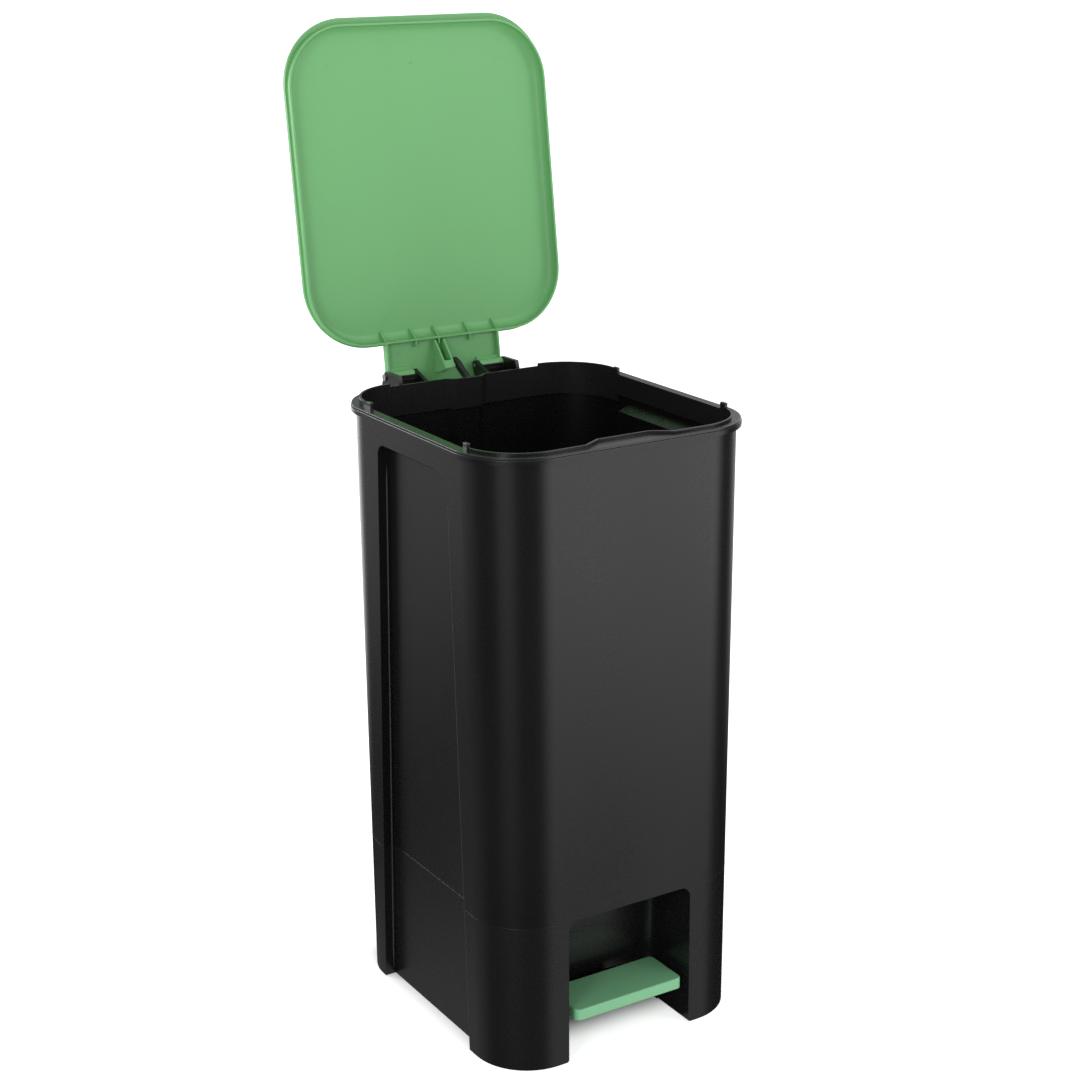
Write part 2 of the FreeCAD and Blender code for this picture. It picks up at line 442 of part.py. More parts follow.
lev = lev.fuse(lever_block)
for xa, xb in ((-1.8, 1.5), (7.9, 11.2)):
    t = prism_x(tine, xa, xb).fuse(cyl_x(4.4, xa, xb, REAR_PIN_Y, REAR_PIN_Z))
    lev = lev.fuse(t)
lev = lev.cut(cyl_x(AXLE_R + PIN_CLEAR, -40, 40, AXLE_Y, AXLE_Z))
lev = lev.cut(cyl_x(2.0, -10, 20, REAR_PIN_Y, REAR_PIN_Z))


def tilt(shape):
    """turn from level to the pad's slope about its back top edge"""
    shape.rotate(V(0, PAD_Y1, PAD_TOP_BACK_Z), V(1, 0, 0), -PAD_TILT)
    return shape


pad = round_slab(-PAD_HALF, PAD_HALF, PAD_Y0, PAD_Y1, PAD_R, PAD_TOP_BACK_Z - PAD_T, PAD_TOP_BACK_Z)
pe = [e for e in pad.Edges if abs(e.BoundBox.ZMin - PAD_TOP_BACK_Z) < 1e-6 and abs(e.BoundBox.ZMax - PAD_TOP_BACK_Z) < 1e-6]
pad = pad.makeFillet(1.6, pe)
pad = pad.cut(round_slab(-PAD_HALF + 2.5, PAD_HALF - 2.5, PAD_Y0 + 2.5, PAD_Y1 - 2.5, PAD_R - 2.5, PAD_TOP_BACK_Z - PAD_T - 1, PAD_TOP_BACK_Z - 2.6))
SCREW_PTS = ((-12.0, -130.0), (12.0, -130.0))
for sx, sy in SCREW_PTS:
    pad = pad.cut(cyl_z(1.5, sx, sy, PAD_TOP_BACK_Z - 4, PAD_TOP_BACK_Z - 1.0))
for rx in (-40.0, 40.0):
    pad = pad.fuse(box(rx - 1, rx + 1, PAD_Y0 + 2, PAD_Y1 - 2, PAD_TOP_BACK_Z - PAD_T + 1, PAD_TOP_BACK_Z - 2))
pad = tilt(solid_of(pad.removeSplitter()))
# the tongue fits under the pad's top
room = tilt(box(-200, 200, PAD_Y0 - 20, PAD_Y1 - 2.7, PAD_TOP_BACK_Z - 2.6, PAD_TOP_BACK_Z + 40))
lev = lev.cut(room)
skirt_gap = tilt(round_slab(-PAD_HALF, PAD_HALF, PAD_Y0, PAD_Y1, PAD_R, PAD_TOP_BACK_Z - PAD_T, PAD_TOP_BACK_Z)
                 .cut(round_slab(-PAD_HALF + 2.5, PAD_HALF - 2.5, PAD_Y0 + 2.5, PAD_Y1 - 2.5, PAD_R - 2.5, PAD_TOP_BACK_Z - PAD_T - 1, PAD_TOP_BACK_Z + 1)))
lev = lev.cut(skirt_gap)
for sx, sy in SCREW_PTS:
    h = tilt(cyl_z(1.75, sx, sy, PAD_TOP_BACK_Z - 20, PAD_TOP_BACK_Z))
    lev = lev.cut(h)
save("pedal_lever", solid_of(lev.removeSplitter()))
save("pedal_pad", pad)
ps = []
for sx, sy in SCREW_PTS:
    a1 = cyl_z(1.5, sx, sy, PAD_TOP_BACK_Z - 7.6, PAD_TOP_BACK_Z - 1.2)
    a1 = a1.fuse(cyl_z(3.0, sx, sy, PAD_TOP_BACK_Z - 8.4, PAD_TOP_BACK_Z - 6.6))
    ps.append(tilt(solid_of(a1.removeSplitter())))
save("pad_screws", Part.makeCompound(ps))

axle = cyl_x(AXLE_R, -38.0, 38.0, AXLE_Y, AXLE_Z)
save("pedal_axle", axle)
bs = []
for s, nm in ((-1, "axle_bearing_left"), (1, "axle_bearing_right")):
    xa, xb = (28.0, 36.0) if s > 0 else (-36.0, -28.0)
    b = box(xa, xb, AXLE_Y - 18, AXLE_Y + 18, AXLE_Z - 4.5, AXLE_Z)
    b = b.fuse(cyl_x(6.5, xa, xb, AXLE_Y, AXLE_Z).common(box(xa, xb, 0, 40, 10, AXLE_Z)))
    b = b.cut(cyl_x(AXLE_R, xa - 1, xb + 1, AXLE_Y, AXLE_Z))
    for dy in (-12.5, 12.5):
        b = b.cut(cyl_z(1.75, (xa + xb) / 2, AXLE_Y + dy, AXLE_Z - 10, AXLE_Z + 1))
        q = cyl_z(1.5, (xa + xb) / 2, AXLE_Y + dy, AXLE_Z - 5, AXLE_Z + 9)
        q = q.fuse(cyl_z(3.2, (xa + xb) / 2, AXLE_Y + dy, AXLE_Z - 6.5, AXLE_Z - 4.5))
        bs.append(solid_of(q.removeSplitter()))
    save(nm, solid_of(b.removeSplitter()))
save("bearing_screws", Part.makeCompound(bs))

pin = cyl_x(2.0, -1.8, 13.0, REAR_PIN_Y, REAR_PIN_Z).fuse(cyl_x(3.4, -3.3, -1.8, REAR_PIN_Y, REAR_PIN_Z))
pin = pin.cut(cyl_x(2.4, 11.3, 12.2, REAR_PIN_Y, REAR_PIN_Z).cut(cyl_x(1.5, 11.2, 12.3, REAR_PIN_Y, REAR_PIN_Z)))
save("lever_pin", solid_of(pin.removeSplitter()))
clip = cyl_x(3.8, 11.35, 12.15, REAR_PIN_Y, REAR_PIN_Z).cut(cyl_x(1.5, 11, 12.5, REAR_PIN_Y, REAR_PIN_Z))
clip = clip.cut(box(11, 12.6, REAR_PIN_Y - 1.2, REAR_PIN_Y + 1.2, REAR_PIN_Z - 5, REAR_PIN_Z))
save("lever_pin_clip", solid_of(clip.removeSplitter()))

bb = None
for nm, s in NODES:
    n = len(s.Solids)
    b = s.optimalBoundingBox(False)
    print("%-20s solids %d valid %s vol %.1f cm3 x %.2f %.2f y %.2f %.2f z %.2f %.2f" % (nm, n, s.isValid(), s.Volume / 1000, b.XMin, b.XMax, b.YMin, b.YMax, b.ZMin, b.ZMax))
    bb = b if bb is None else bb.united(b)
print("bounds", bb.XMin, bb.XMax, bb.YMin, bb.YMax, bb.ZMin, bb.ZMax, "centre y", (bb.YMin + bb.YMax) / 2)
print("rod pivot", PIV_Y, PIV_Z, "rise", ROD_RISE)
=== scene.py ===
import math

import bmesh
import bpy
from mathutils import Matrix, Vector


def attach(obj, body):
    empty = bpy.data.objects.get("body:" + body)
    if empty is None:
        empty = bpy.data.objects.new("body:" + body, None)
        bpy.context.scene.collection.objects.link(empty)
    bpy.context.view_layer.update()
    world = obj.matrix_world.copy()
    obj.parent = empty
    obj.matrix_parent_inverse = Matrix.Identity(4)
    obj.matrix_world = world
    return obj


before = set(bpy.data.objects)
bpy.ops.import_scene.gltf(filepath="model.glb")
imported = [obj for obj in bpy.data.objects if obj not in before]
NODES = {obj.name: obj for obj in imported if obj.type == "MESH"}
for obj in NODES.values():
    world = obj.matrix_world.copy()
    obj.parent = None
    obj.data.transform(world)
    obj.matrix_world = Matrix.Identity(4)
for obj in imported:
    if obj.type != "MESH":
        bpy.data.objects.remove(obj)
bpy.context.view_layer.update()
scene = bpy.context.scene

# ---------------------------------------------------------------- camera
CAM_AT = Vector((-1.025750, -1.680276, 1.070400))
LOOK_AT = Vector((0.047692, 0.036062, 0.440801))
AZ, EL, ROLL = math.radians(-32.023), math.radians(17.276), math.radians(-0.163)
LENS = 36.0 * 2089.52 / 1080.0

back = Vector((math.sin(AZ) * math.cos(EL), -math.cos(AZ) * math.cos(EL), math.sin(EL)))
right0 = (-back).cross(Vector((0, 0, 1))).normalized()
up0 = right0.cross(-back).normalized()
right = math.cos(ROLL) * right0 + math.sin(ROLL) * up0
up = -math.sin(ROLL) * right0 + math.cos(ROLL) * up0
cam_data = bpy.data.cameras.new("camera")
cam_data.sensor_fit = "HORIZONTAL"
cam_data.sensor_width = 36.0
cam_data.lens = LENS
cam_data.clip_start, cam_data.clip_end = 0.05, 60.0
cam = bpy.data.objects.new("camera", cam_data)
scene.collection.objects.link(cam)
m = Matrix((right, up, back)).transposed().to_4x4()
m.translation = CAM_AT
cam.matrix_world = m
scene.camera = cam
scene.view_settings.view_transform = "Standard"
scene.view_settings.look = "None"


# ---------------------------------------------------------------- node helpers
class Net:
    """A short way to write a node tree."""

    def __init__(self, tree):
        self.t = tree
        self.n = tree.nodes
        self.x = 0

    def add(self, kind, **props):
        node = self.n.new(kind)
        self.x += 180
        node.location = (self.x, 0)
        for k, v in props.items():
            setattr(node, k, v)
        return node

    def put(self, socket, value):
        if hasattr(value, "is_output"):
            self.t.links.new(value, socket)
        elif value is not None:
            socket.default_value = value

    def math(self, op, a, b=None, c=None, clamp=False):
        node = self.add("ShaderNodeMath", operation=op, use_clamp=clamp)
        for i, v in enumerate((a, b, c)):
            if v is not None:
                self.put(node.inputs[i], v)
        return node.outputs[0]

    def noise(self, vec, scale, detail=2.0, rough=0.5, dist=0.0):
        node = self.add("ShaderNodeTexNoise")
        self.put(node.inputs["Vector"], vec)
        node.inputs["Scale"].default_value = scale
        node.inputs["Detail"].default_value = detail
        node.inputs["Roughness"].default_value = rough
        node.inputs["Distortion"].default_value = dist
        return node.outputs["Fac"]

    def ramp(self, fac, lo, hi, to_lo, to_hi, smooth=True):
        node = self.add("ShaderNodeMapRange")
        node.interpolation_type = "SMOOTHSTEP" if smooth else "LINEAR"
        self.put(node.inputs["Value"], fac)
        node.inputs["From Min"].default_value = lo
        node.inputs["From Max"].default_value = hi
        node.inputs["To Min"].default_value = to_lo
        node.inputs["To Max"].default_value = to_hi
        return node.outputs["Result"]

    def mix(self, fac, a, b, blend="MIX"):
        node = self.add("ShaderNodeMix", data_type="RGBA", blend_type=blend)
        self.put(node.inputs[0], fac)
        self.put(node.inputs[6], a)
        self.put(node.inputs[7], b)
        return node.outputs[2]

    def stretch(self, vec, scale):
        node = self.add("ShaderNodeVectorMath", operation="MULTIPLY")
        self.put(node.inputs[0], vec)
        node.inputs[1].default_value = scale
        return node.outputs[0]

    def bump(self, height, strength, distance, normal=None):
        node = self.add("ShaderNodeBump")
        node.inputs["Strength"].default_value = strength
        node.inputs["Distance"].default_value = distance
        self.put(node.inputs["Height"], height)
        if normal is not None:
            self.put(node.inputs["Normal"], normal)
        return node.outputs["Normal"]


def new_material(name):
    mat = bpy.data.materials.new(name)
    mat.use_nodes = True
    mat.node_tree.nodes.clear()
    net = Net(mat.node_tree)
    bsdf = net.add("ShaderNodeBsdfPrincipled")
    out = net.add("ShaderNodeOutputMaterial")
    net.t.links.new(bsdf.outputs[0], out.inputs["Surface"])
    tc = net.add("ShaderNodeTexCoord")
    return mat, net, bsdf, tc.outputs["Object"]


def moulded(name, dark, light, rough, grain=0.00035, grain_depth=0.00002, spread=0.05,
            waves=0.00006, sss=0.0, mould_line=None, ior=1.49):
    """Injection-moulded plastic: spark-eroded grain, faint flow shading, slow sink waves and hairline scuffs."""
    mat, net, bsdf, obj = new_material(name)
    bsdf.inputs["IOR"].default_value = ior
    if sss:
        bsdf.inputs["Subsurface Weight"].default_value = sss
        bsdf.inputs["Subsurface Radius"].default_value = (0.6, 1.0, 0.5)
        bsdf.inputs["Subsurface Scale"].default_value = 0.002
    cloud = net.noise(net.stretch(obj, (1.0, 1.0, 0.4)), 7.0, 3.0, 0.5)
    fine = net.noise(obj, 420.0, 3.0, 0.6)
    tone = net.math("ADD", net.math("MULTIPLY", cloud, 0.7), net.math("MULTIPLY", fine, 0.3))
    tone = net.ramp(tone, 0.3, 0.7, 0.0, 1.0)
    colour = net.mix(tone, (*dark, 1.0), (*light, 1.0))
    r = net.ramp(cloud, 0.25, 0.75, rough - spread, rough + spread)
    r = net.math("ADD", r, net.math("MULTIPLY", net.ramp(fine, 0.3, 0.7, -1.0, 1.0), 0.02))
    # hairline scuffs from handling, only a touch rougher than the plastic
    scuff = net.noise(net.stretch(obj, (1.0, 1.0, 0.05)), 700.0, 2.0, 0.4, 0.5)
    scuff = net.math("MULTIPLY", net.ramp(scuff, 0.68, 0.80, 0.0, 1.0), net.ramp(cloud, 0.5, 0.7, 0.0, 1.0))
    r = net.math("ADD", r, net.math("MULTIPLY", scuff, 0.05))
    if mould_line is not None:
        # the two halves of the mould are polished differently
        xyz = net.add("ShaderNodeSeparateXYZ")
        net.put(xyz.inputs[0], obj)
        below = net.ramp(xyz.outputs[2], mould_line - 0.0004, mould_line + 0.0004, 1.0, 0.0)
        lighter = tuple(c * 1.3 for c in light)
        colour = net.mix(net.math("MULTIPLY", below, 0.6), colour, (*lighter, 1.0))
        r = net.math("SUBTRACT", r, net.math("MULTIPLY", below, 0.02))
    net.put(bsdf.inputs["Base Color"], colour)
    net.put(bsdf.inputs["Roughness"], r)
    n = net.bump(net.noise(obj, 1.0 / grain, 2.0, 0.6), 0.6, grain_depth)
    n = net.bump(net.noise(net.stretch(obj, (1.0, 1.0, 0.5)), 12.0, 1.0, 0.4), 0.5, waves * 6, n)
    net.put(bsdf.inputs["Normal"], n)
    return mat


def metal(name, colour, rough):
    mat, net, bsdf, obj = new_material(name)
    bsdf.inputs["Metallic"].default_value = 1.0
    tone = net.noise(net.stretch(obj, (0.15, 1.0, 1.0)), 1400.0, 3.0, 0.6)
    net.put(bsdf.inputs["Base Color"],
            net.mix(tone, (*[c * 0.8 for c in colour], 1.0), (*colour, 1.0)))
    net.put(bsdf.inputs["Roughness"], net.ramp(tone, 0.3, 0.7, rough - 0.07, rough + 0.09))
    net.put(bsdf.inputs["Normal"], net.bump(tone, 0.4, 0.00002))
    return mat


def lin(r, g, b):
    def f(c):
        c /= 255.0
        return c / 12.92 if c <= 0.04045 else ((c + 0.055) / 1.055) ** 2.4
    return (f(r), f(g), f(b))


CASING = moulded("casing_plastic", (0.0040, 0.0040, 0.0042), (0.0056, 0.0056, 0.0058), 0.29,
                 grain_depth=0.000007, spread=0.02, mould_line=0.1479)
RING = moulded("ring_plastic", (0.0105, 0.0105, 0.0110), (0.0130, 0.0130, 0.0136), 0.26,
               grain=0.0006, grain_depth=0.000003, spread=0.02)
GREEN = moulded("lid_plastic", (0.134, 0.372, 0.136), (0.144, 0.392, 0.148), 0.38, grain=0.0005,
                grain_depth=0.00001, sss=0.12, waves=0.00003, spread=0.03, ior=1.42)
PAD = moulded("pad_plastic", (0.165, 0.410, 0.215), (0.180, 0.435, 0.235), 0.42, grain=0.0004,
              grain_depth=0.00002, sss=0.08, spread=0.03)
# lighter plastic for the recess edge beads: a painted highlight along those edges
EDGE_HIGHLIGHT = moulded("painted_edge_highlight", (0.030, 0.030, 0.031), (0.040, 0.040, 0.042), 0.30,
               grain_depth=0.000003, spread=0.02)
MECH = moulded("mechanism_plastic", (0.005, 0.005, 0.0053), (0.0075, 0.0075, 0.008), 0.32,
               grain_depth=0.000008, spread=0.03)
STEEL = metal("pin_steel", (0.62, 0.61, 0.59), 0.28)
SCREW = metal("screw_zinc", (0.55, 0.56, 0.58), 0.34)

SLOT_MATERIAL = {
    "casing_black": CASING, "ring_black": RING, "lid_green": GREEN, "pad_green": PAD,
    "mechanism_black": MECH, "pin_steel": STEEL, "screw_steel": SCREW,
}
SLOT_OF = {
    "casing": "casing_black", "bag_ring": "ring_black", "lid": "lid_green", "pedal_pad": "pad_green",
    "hinge_block_screws": "screw_steel", "pad_screws": "screw_steel", "bearing_screws": "screw_steel",
    "hinge_pin_left": "pin_steel", "hinge_pin_right": "pin_steel", "pedal_axle": "pin_steel",
    "lever_pin": "pin_steel", "lever_pin_clip": "pin_steel",
}

for name, obj in NODES.items():
    mat = SLOT_MATERIAL[SLOT_OF.get(name, "mechanism_black")]
    if not obj.material_slots:
        obj.data.materials.append(None)
    for slot in obj.material_slots:
        slot.material = mat


def smooth_group():
    """A node group that shades every face smooth, so that the carried-over meshes stay as they are."""
    g = bpy.data.node_groups.new("shade_all_smooth", "GeometryNodeTree")
    g.interface.new_socket(name="Geometry", in_out="INPUT", socket_type="NodeSocketGeometry")
    g.interface.new_socket(name="Geometry", in_out="OUTPUT", socket_type="NodeSocketGeometry")
    i = g.nodes.new("NodeGroupInput")
    m = g.nodes.new("GeometryNodeSetShadeSmooth")
    o = g.nodes.new("NodeGroupOutput")
    g.links.new(i.outputs[0], m.inputs["Geometry"])
    g.links.new(m.outputs[0], o.inputs[0])
    return g


SMOOTH = smooth_group()


def soften(name, width, segments=2, angle=32.0):
    """Rounds the moulded edges of a carried-over node."""
    obj = NODES[name]
    obj.modifiers.new("smooth", "NODES").node_group = SMOOTH
    w = obj.modifiers.new("weld", "WELD")
    w.merge_threshold = 0.00001
    v = obj.modifiers.new("round", "BEVEL")
    v.width = width
    v.segments = segments
    v.limit_method = "ANGLE"
    v.angle_limit = math.radians(angle)
    v.miter_outer = "MITER_ARC"
    v.harden_normals = False
    v.use_clamp_overlap = True
    wn = obj.modifiers.new("shade", "WEIGHTED_NORMAL")
    wn.keep_sharp = False
    wn.weight = 80


SOFT = {"lid": 0.0006, "casing": 0.0007, "bag_ring": 0.0005, "pedal_pad": 0.0006,
        "hinge_block_left": 0.0005, "hinge_block_right": 0.0005}
for name, width in SOFT.items():
    soften(name, width)



# ---------------------------------------------------------------- fine moulding marks
def tree_of(name):
    """The carried-over node's triangles, for finding its surface."""
    from mathutils.bvhtree import BVHTree
    me = NODES[name].data
    me.calc_loop_triangles()
    mw = NODES[name].matrix_world
    return BVHTree.FromPolygons([mw @ v.co for v in me.vertices], [tuple(t.vertices) for t in me.loop_triangles])


CASE_TREE = tree_of("casing")
LID_TREE = tree_of("lid")
# where fine marks lie: name, y low down, y high up, z low down, z high up
SIDE_LINES = [("recess_front", -0.1323, -0.1159, 0.006, 0.545)]
# ejector pin marks on the inside of the lid: x, z, radius
LID_MARKS = [(-0.0571, 0.6585, 0.0030), (-0.0495, 0.6233, 0.0030), (-0.0035, 0.9064, 0.0016),
             (0.0571, 0.6585, 0.0030), (0.0495, 0.6233, 0.0030), (0.0965, 0.9064, 0.0016), (-0.0965, 0.9064, 0.0016)]


def bead(name, points, normals, width, height, body, mat, sink=0.00025, closed=False):
    """A low rounded bead that follows points on a surface, raised along their normals."""
    n = len(points)
    bm = bmesh.new()
    rings = []
    seg = 7
    for i, (p, nn) in enumerate(zip(points, normals)):
        a = points[(i - 1) % n] if closed or i > 0 else points[i]
        b = points[(i + 1) % n] if closed or i < n - 1 else points[i]
        t = (b - a).normalized()
        side = t.cross(nn).normalized()
        k = 1.0 if closed else min(1.0, 0.15 + i / 3.0, 0.15 + (n - 1 - i) / 3.0)
        ring = []
        for j in range(seg):
            q = math.pi * j / (seg - 1)
            ring.append(bm.verts.new(p + side * (width / 2 * k * math.cos(q)) + nn * (height * k * math.sin(q))))
        ring.append(bm.verts.new(p - side * (width / 2 * k) - nn * sink))
        ring.append(bm.verts.new(p + side * (width / 2 * k) - nn * sink))
        rings.append(ring)
    m = len(rings[0])
    pairs = range(n) if closed else range(n - 1)
    for i in pairs:
        r0, r1 = rings[i], rings[(i + 1) % n]
        for j in range(m):
            bm.faces.new((r0[j], r0[(j + 1) % m], r1[(j + 1) % m], r1[j]))
    if not closed:
        bm.faces.new(list(reversed(rings[0])))
        bm.faces.new(rings[-1])
    bmesh.ops.recalc_face_normals(bm, faces=bm.faces[:])
    mesh = bpy.data.meshes.new(name)
    bm.to_mesh(mesh)
    bm.free()
    for f in mesh.polygons:
        f.use_smooth = len(f.vertices) == 4
    mesh.materials.append(mat)
    obj = bpy.data.objects.new(name, mesh)
    scene.collection.objects.link(obj)
    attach(obj, body)
    return obj


def runs_of(hits, gap):
    """Splits a list of (point, normal) or None into runs with no jump longer than gap."""
    out, cur = [], []
    for h in hits:
        if h is None or (cur and (h[0] - cur[-1][0]).length > gap):
            if len(cur) > 5:
                out.append(cur)
            cur = []
        if h is not None:
            cur.append(h)
    if len(cur) > 5:
        out.append(cur)
    return out


# the mould's parting line round the casing, a little above the pedal opening
CY = -0.0466
SEAM_Z = 0.1482
hits = []
for i in range(720):
    a = 2 * math.pi * (i + 0.5) / 720
    d = Vector((math.cos(a), math.sin(a), 0.0))
    loc, nn, idx, dist = CASE_TREE.ray_cast(Vector((0.0, CY, SEAM_Z)) + d * 0.4, -d)
    if loc is None or nn.dot(d) < 0.25 or (loc.y < -0.19 and abs(loc.x) < 0.082):
        hits.append(None)
    else:
        nn = Vector((nn.x, nn.y, 0.0)).normalized()
        hits.append((loc, nn))
start = next((i for i, h in enumerate(hits) if h is None or (h[0] - hits[i - 1][0]).length > 0.004), 0) if None not in hits else hits.index(None)
hits = hits[start:] + hits[:start]
for k, run in enumerate(runs_of(hits, 0.0032)):
    bead("parting_line_%d" % k, [p for p, nn in run], [nn for p, nn in run], 0.0007, 0.00018, "base", CASING)

# crisp edges of the side recesses: their front end and the line in their rear corner, coloured lighter than the casing
# as a painted highlight
for side in (-1, 1):
    for name, y0, y1, zz0, zz1 in SIDE_LINES:
        hits = []
        for i in range(90):
            f = i / 89.0
            z = zz0 + (zz1 - zz0) * f
            y = y0 + (y1 - y0) * f
            loc, nn, idx, dist = CASE_TREE.ray_cast(Vector((side * 0.3, y, z)), Vector((-side, 0.0, 0.0)))
            hits.append(None if loc is None else (loc, nn))
        for k, run in enumerate(runs_of(hits, 0.012)):
            bead("%s_%s_%d" % (name, "left" if side < 0 else "right", k), [p for p, nn in run], [nn for p, nn in run],
                 0.0008, 0.00022, "base", EDGE_HIGHLIGHT)
    # a fine line down the recess's rear wall, close to the panel, coloured lighter as a painted highlight of the inner
    # corner
    hits = []
    for i in range(90):
        f = i / 89.0
        z = 0.006 + 0.545 * f
        half = (0.2781 + (0.2901 - 0.2781) * z / 0.6) / 2
        loc, nn, idx, dist = CASE_TREE.ray_cast(Vector((side * (half - 0.0093), CY, z)), Vector((0.0, 1.0, 0.0)))
        hits.append(None if loc is None or loc.y > 0.06 else (loc, nn))
    for k, run in enumerate(runs_of(hits, 0.012)):
        bead("recess_rear_%s_%d" % ("left" if side < 0 else "right", k), [p for p, nn in run], [nn for p, nn in run],
             0.0017, 0.0009, "base", EDGE_HIGHLIGHT)


def disc_mark(name, centre, normal, radius, height, body, mat):
    """The witness mark of an ejector pin: a low ring with a slightly sunken middle."""
    bm = bmesh.new()
    z = Vector(normal).normalized()
    x = z.orthogonal().normalized()
    y = z.cross(x)
    prof = [(1.0, -0.3), (1.0, 0.6), (0.94, 1.0), (0.86, 0.9), (0.78, 0.25), (0.4, 0.15)]
    rings = []
    n = 36
    for r, h in prof:
        rings.append([bm.verts.new(Vector(centre) + (x * math.cos(2 * math.pi * i / n) + y * math.sin(2 * math.pi * i / n)) * radius * r + z * height * h)
                      for i in range(n)])
    for a, b in zip(rings, rings[1:]):
        for i in range(n):
            bm.faces.new((a[i], a[(i + 1) % n], b[(i + 1) % n], b[i]))
    bm.faces.new(rings[-1])
    bm.faces.new(list(reversed(rings[0])))
    bmesh.ops.recalc_face_normals(bm, faces=bm.faces[:])
    mesh = bpy.data.meshes.new(name)
    bm.to_mesh(mesh)
    bm.free()
    for f in mesh.polygons:
        f.use_smooth = len(f.vertices) == 4
    mesh.materials.append(mat)
    obj = bpy.data.objects.new(name, mesh)
    scene.collection.objects.link(obj)
    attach(obj, body)
    return obj


for k, (x, z, r) in enumerate(LID_MARKS):
    loc, nn, idx, dist = LID_TREE.ray_cast(Vector((x, -0.4, z)), Vector((0.0, 1.0, 0.0)))
    if loc is not None:
        disc_mark("ejector_mark_%d" % k, loc, nn, r, 0.00016, "lid", GREEN)

# ---------------------------------------------------------------- floor and light
def floor():
    mesh = bpy.data.meshes.new("studio_floor")
    s = 25.0
    mesh.from_pydata([(-s, -s, 0), (s, -s, 0), (s, s, 0), (-s, s, 0)], [], [(0, 1, 2, 3)])
    obj = bpy.data.objects.new("studio_floor", mesh)
    scene.collection.objects.link(obj)
    mat, net, bsdf, tc = new_material("studio_floor")
    bsdf.inputs["Roughness"].default_value = 0.9
    bsdf.inputs["Specular IOR Level"].default_value = 0.0
    tone = net.noise(tc, 1.5, 2.0, 0.5)
    net.put(bsdf.inputs["Base Color"], net.mix(tone, (0.93, 0.93, 0.93, 1), (0.95, 0.95, 0.95, 1)))
    # painted glow: the floor glows, except under the bin and right beside it, where the missing glow is a painted
    # contact shadow
    xyz = net.add("ShaderNodeSeparateXYZ")
    net.put(xyz.inputs[0], tc)
    dx = net.math("MAXIMUM", net.math("SUBTRACT", net.math("ABSOLUTE", xyz.outputs[0]), 0.112), 0.0)
    dy = net.math("MAXIMUM", net.math("SUBTRACT", net.math("ABSOLUTE", net.math("ADD", xyz.outputs[1], 0.024)), 0.108), 0.0)
    d = net.math("SQRT", net.math("ADD", net.math("MULTIPLY", dx, dx), net.math("MULTIPLY", dy, dy)))
    bsdf.inputs["Emission Color"].default_value = (1, 1, 1, 1)
    net.put(bsdf.inputs["Emission Strength"], net.ramp(d, 0.0, 0.045, 0.0, 0.62))
    mesh.materials.append(mat)
    obj.location.z = -0.0004
    obj.visible_glossy = False


floor()


def painted_shade_card():
    """A black sheet flat under the bin that only mirror rays meet: painted shade, so the niche mirrors darkness instead
    of light from below.
    """
    mesh = bpy.data.meshes.new("painted_shade_card")
    mesh.from_pydata([(-0.118, -0.188, 0), (0.118, -0.188, 0), (0.118, 0.085, 0), (-0.118, 0.085, 0)], [], [(0, 1, 2, 3)])
    obj = bpy.data.objects.new("painted_shade_card", mesh)
    scene.collection.objects.link(obj)
    mat, net, bsdf, tc = new_material("painted_shade_card")
    net.put(bsdf.inputs["Base Color"], net.mix(net.noise(tc, 20.0), (0.004, 0.004, 0.004, 1), (0.008, 0.008, 0.008, 1)))
    bsdf.inputs["Roughness"].default_value = 0.9
    bsdf.inputs["Specular IOR Level"].default_value = 0.0
    mesh.materials.append(mat)
    obj.location.z = -0.0002
    obj.visible_camera = False
    obj.visible_diffuse = False
    obj.visible_shadow = False


painted_shade_card()

world = bpy.data.worlds.new("studio")
scene.world = world
world.cycles.sampling_method = "NONE"  # the two backgrounds below are told apart by the kind of ray
world.use_nodes = True
world.node_tree.nodes.clear()
net = Net(world.node_tree)
tc = net.add("ShaderNodeTexCoord")
sep = net.add("ShaderNodeSeparateXYZ")
net.put(sep.inputs[0], tc.outputs["Generated"])
flat = net.math("SQRT", net.math("ADD", net.math("MULTIPLY", sep.outputs[0], sep.outputs[0]),
                                 net.math("ADD", net.math("MULTIPLY", sep.outputs[1], sep.outputs[1]), 1e-6)))


def lobe(phi, half, soft):
    """1 near the azimuth phi (from -Y towards +X), 0 further off than half + soft, both in degrees."""
    d = net.math("ADD", net.math("MULTIPLY", sep.outputs[0], math.sin(math.radians(phi))),
                 net.math("MULTIPLY", sep.outputs[1], -math.cos(math.radians(phi))))
    c = net.math("DIVIDE", d, flat)
    return net.ramp(c, math.cos(math.radians(half + soft)), math.cos(math.radians(max(0.0, half - soft))), 0.0, 1.0)


def total_of(pairs):
    t = None
    for f, k in pairs:
        v = net.math("MULTIPLY", f, k)
        t = v if t is None else net.math("ADD", t, v)
    return t


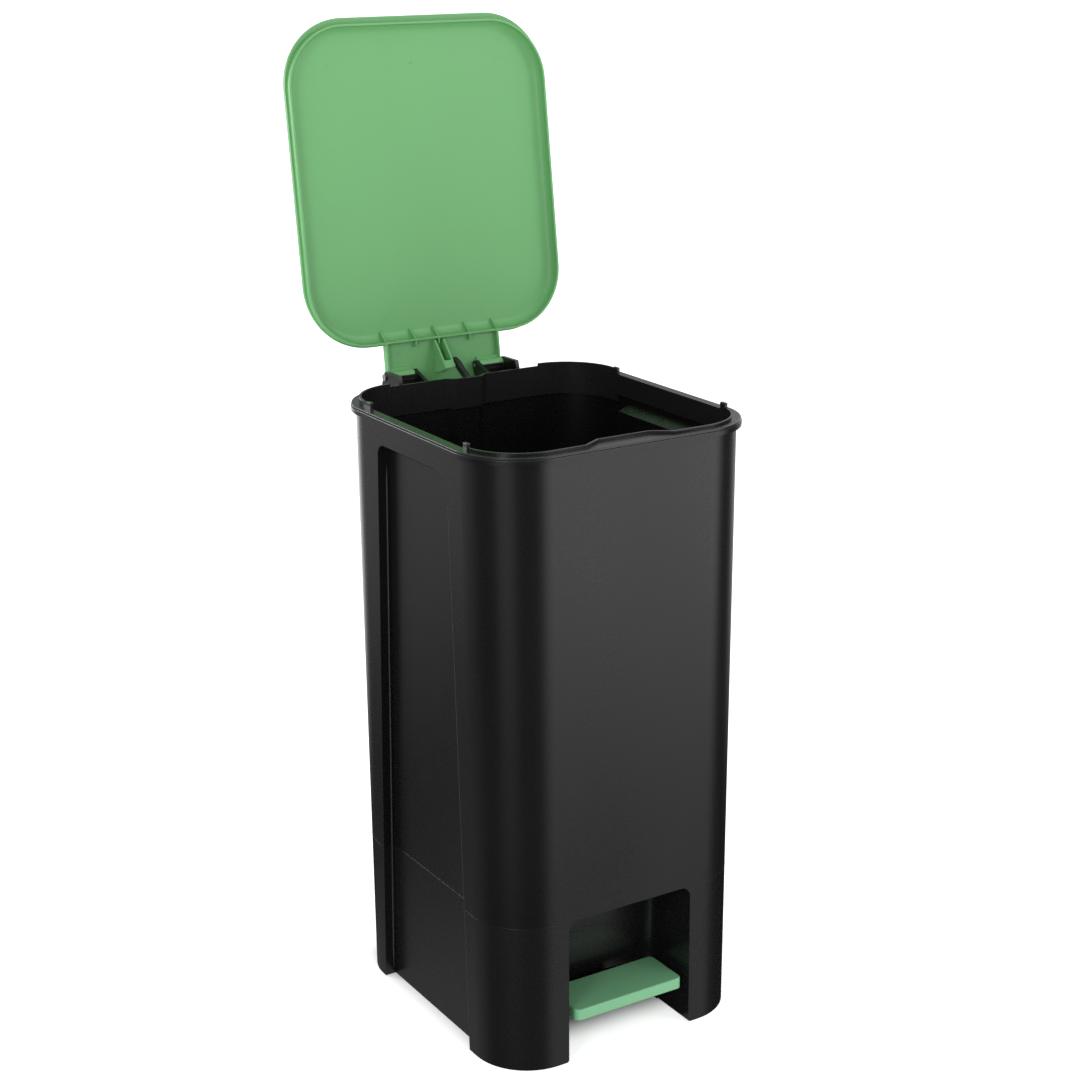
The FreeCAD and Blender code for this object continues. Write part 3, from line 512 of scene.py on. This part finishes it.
around = total_of([(lobe(36.0, 18.0, 14.0), 1.08), (lobe(-54.0, 6.0, 15.0), 0.42), (lobe(-150.0, 34.0, 16.0), 0.185),
                   (lobe(140.0, 30.0, 20.0), 0.33)])
around = net.math("ADD", around, 0.04)
behind = net.math("MULTIPLY", net.math("MULTIPLY", lobe(168.0, 14.0, 12.0), 0.7), net.ramp(sep.outputs[2], -0.10, 0.0, 1.0, 0.0))
around = net.math("ADD", around, behind)
band = net.math("MULTIPLY", net.ramp(sep.outputs[2], -0.405, -0.265, 0.0, 2.05),
                net.ramp(sep.outputs[2], -0.21, -0.02, 1.0, 0.45))
near = total_of([(lobe(36.0, 18.0, 14.0), 0.62), (lobe(-150.0, 34.0, 16.0), 0.28)])
near = net.math("ADD", near, 0.02)
low = net.math("MULTIPLY", net.ramp(sep.outputs[2], -0.51, -0.45, 1.0, 0.0),
               net.ramp(sep.outputs[2], -0.68, -0.56, 0.35, 1.0))
around = net.math("ADD", net.math("MULTIPLY", around, band), net.math("MULTIPLY", near, low))
sky = net.ramp(sep.outputs[2], 0.10, 0.65, 0.0, 1.0)
around = net.math("ADD", around, net.math("MULTIPLY", sky, 0.45))
path = net.add("ShaderNodeLightPath")
glossy = net.add("ShaderNodeBackground")
glossy.inputs[0].default_value = (1, 1, 1, 1)
net.put(glossy.inputs[1], around)
plain = net.add("ShaderNodeBackground")
plain.inputs[0].default_value = (1, 1, 1, 1)
plain.inputs[1].default_value = 1.05
fill = net.add("ShaderNodeBackground")
fill.inputs[0].default_value = (1, 1, 1, 1)
fill.inputs[1].default_value = 0.76
m1 = net.add("ShaderNodeMixShader")
net.put(m1.inputs[0], path.outputs["Is Glossy Ray"])
net.put(m1.inputs[1], fill.outputs[0])
net.put(m1.inputs[2], glossy.outputs[0])
m2 = net.add("ShaderNodeMixShader")
net.put(m2.inputs[0], path.outputs["Is Camera Ray"])
net.put(m2.inputs[1], m1.outputs[0])
net.put(m2.inputs[2], plain.outputs[0])
out = net.add("ShaderNodeOutputWorld")
net.put(out.inputs[0], m2.outputs[0])


def softbox(name, phi, dist, z, towards_z, size, radiance, mirrored=True):
    """An area light at azimuth phi (from -Y towards +X), dist away and z up, aimed at the bin."""
    data = bpy.data.lights.new(name, "AREA")
    data.shape = "RECTANGLE"
    data.size, data.size_y = size
    data.energy = radiance * math.pi * size[0] * size[1]
    obj = bpy.data.objects.new(name, data)
    scene.collection.objects.link(obj)
    a = math.radians(phi)
    at = Vector((math.sin(a) * dist, -math.cos(a) * dist, z))
    obj.location = at
    obj.rotation_mode = "QUATERNION"
    obj.rotation_quaternion = (Vector((0, 0, towards_z)) - at).to_track_quat("-Z", "Y")
    obj.visible_camera = False
    obj.visible_glossy = mirrored
    return obj


softbox("softbox_rear_left", -146.0, 2.3, 1.10, 0.8, (0.8, 1.0), 7.5)
softbox("softbox_left", -54.0, 2.6, 1.45, 0.7, (0.6, 1.2), 6.5)
softbox("softbox_right", 38.0, 3.0, 2.0, 0.5, (1.4, 1.2), 2.8)
softbox("softbox_rear_right", 125.0, 2.6, 1.6, 0.6, (1.0, 1.2), 1.8)

softbox("softbox_front", -18.0, 3.0, 0.9, 0.6, (2.0, 1.6), 0.62, mirrored=False)
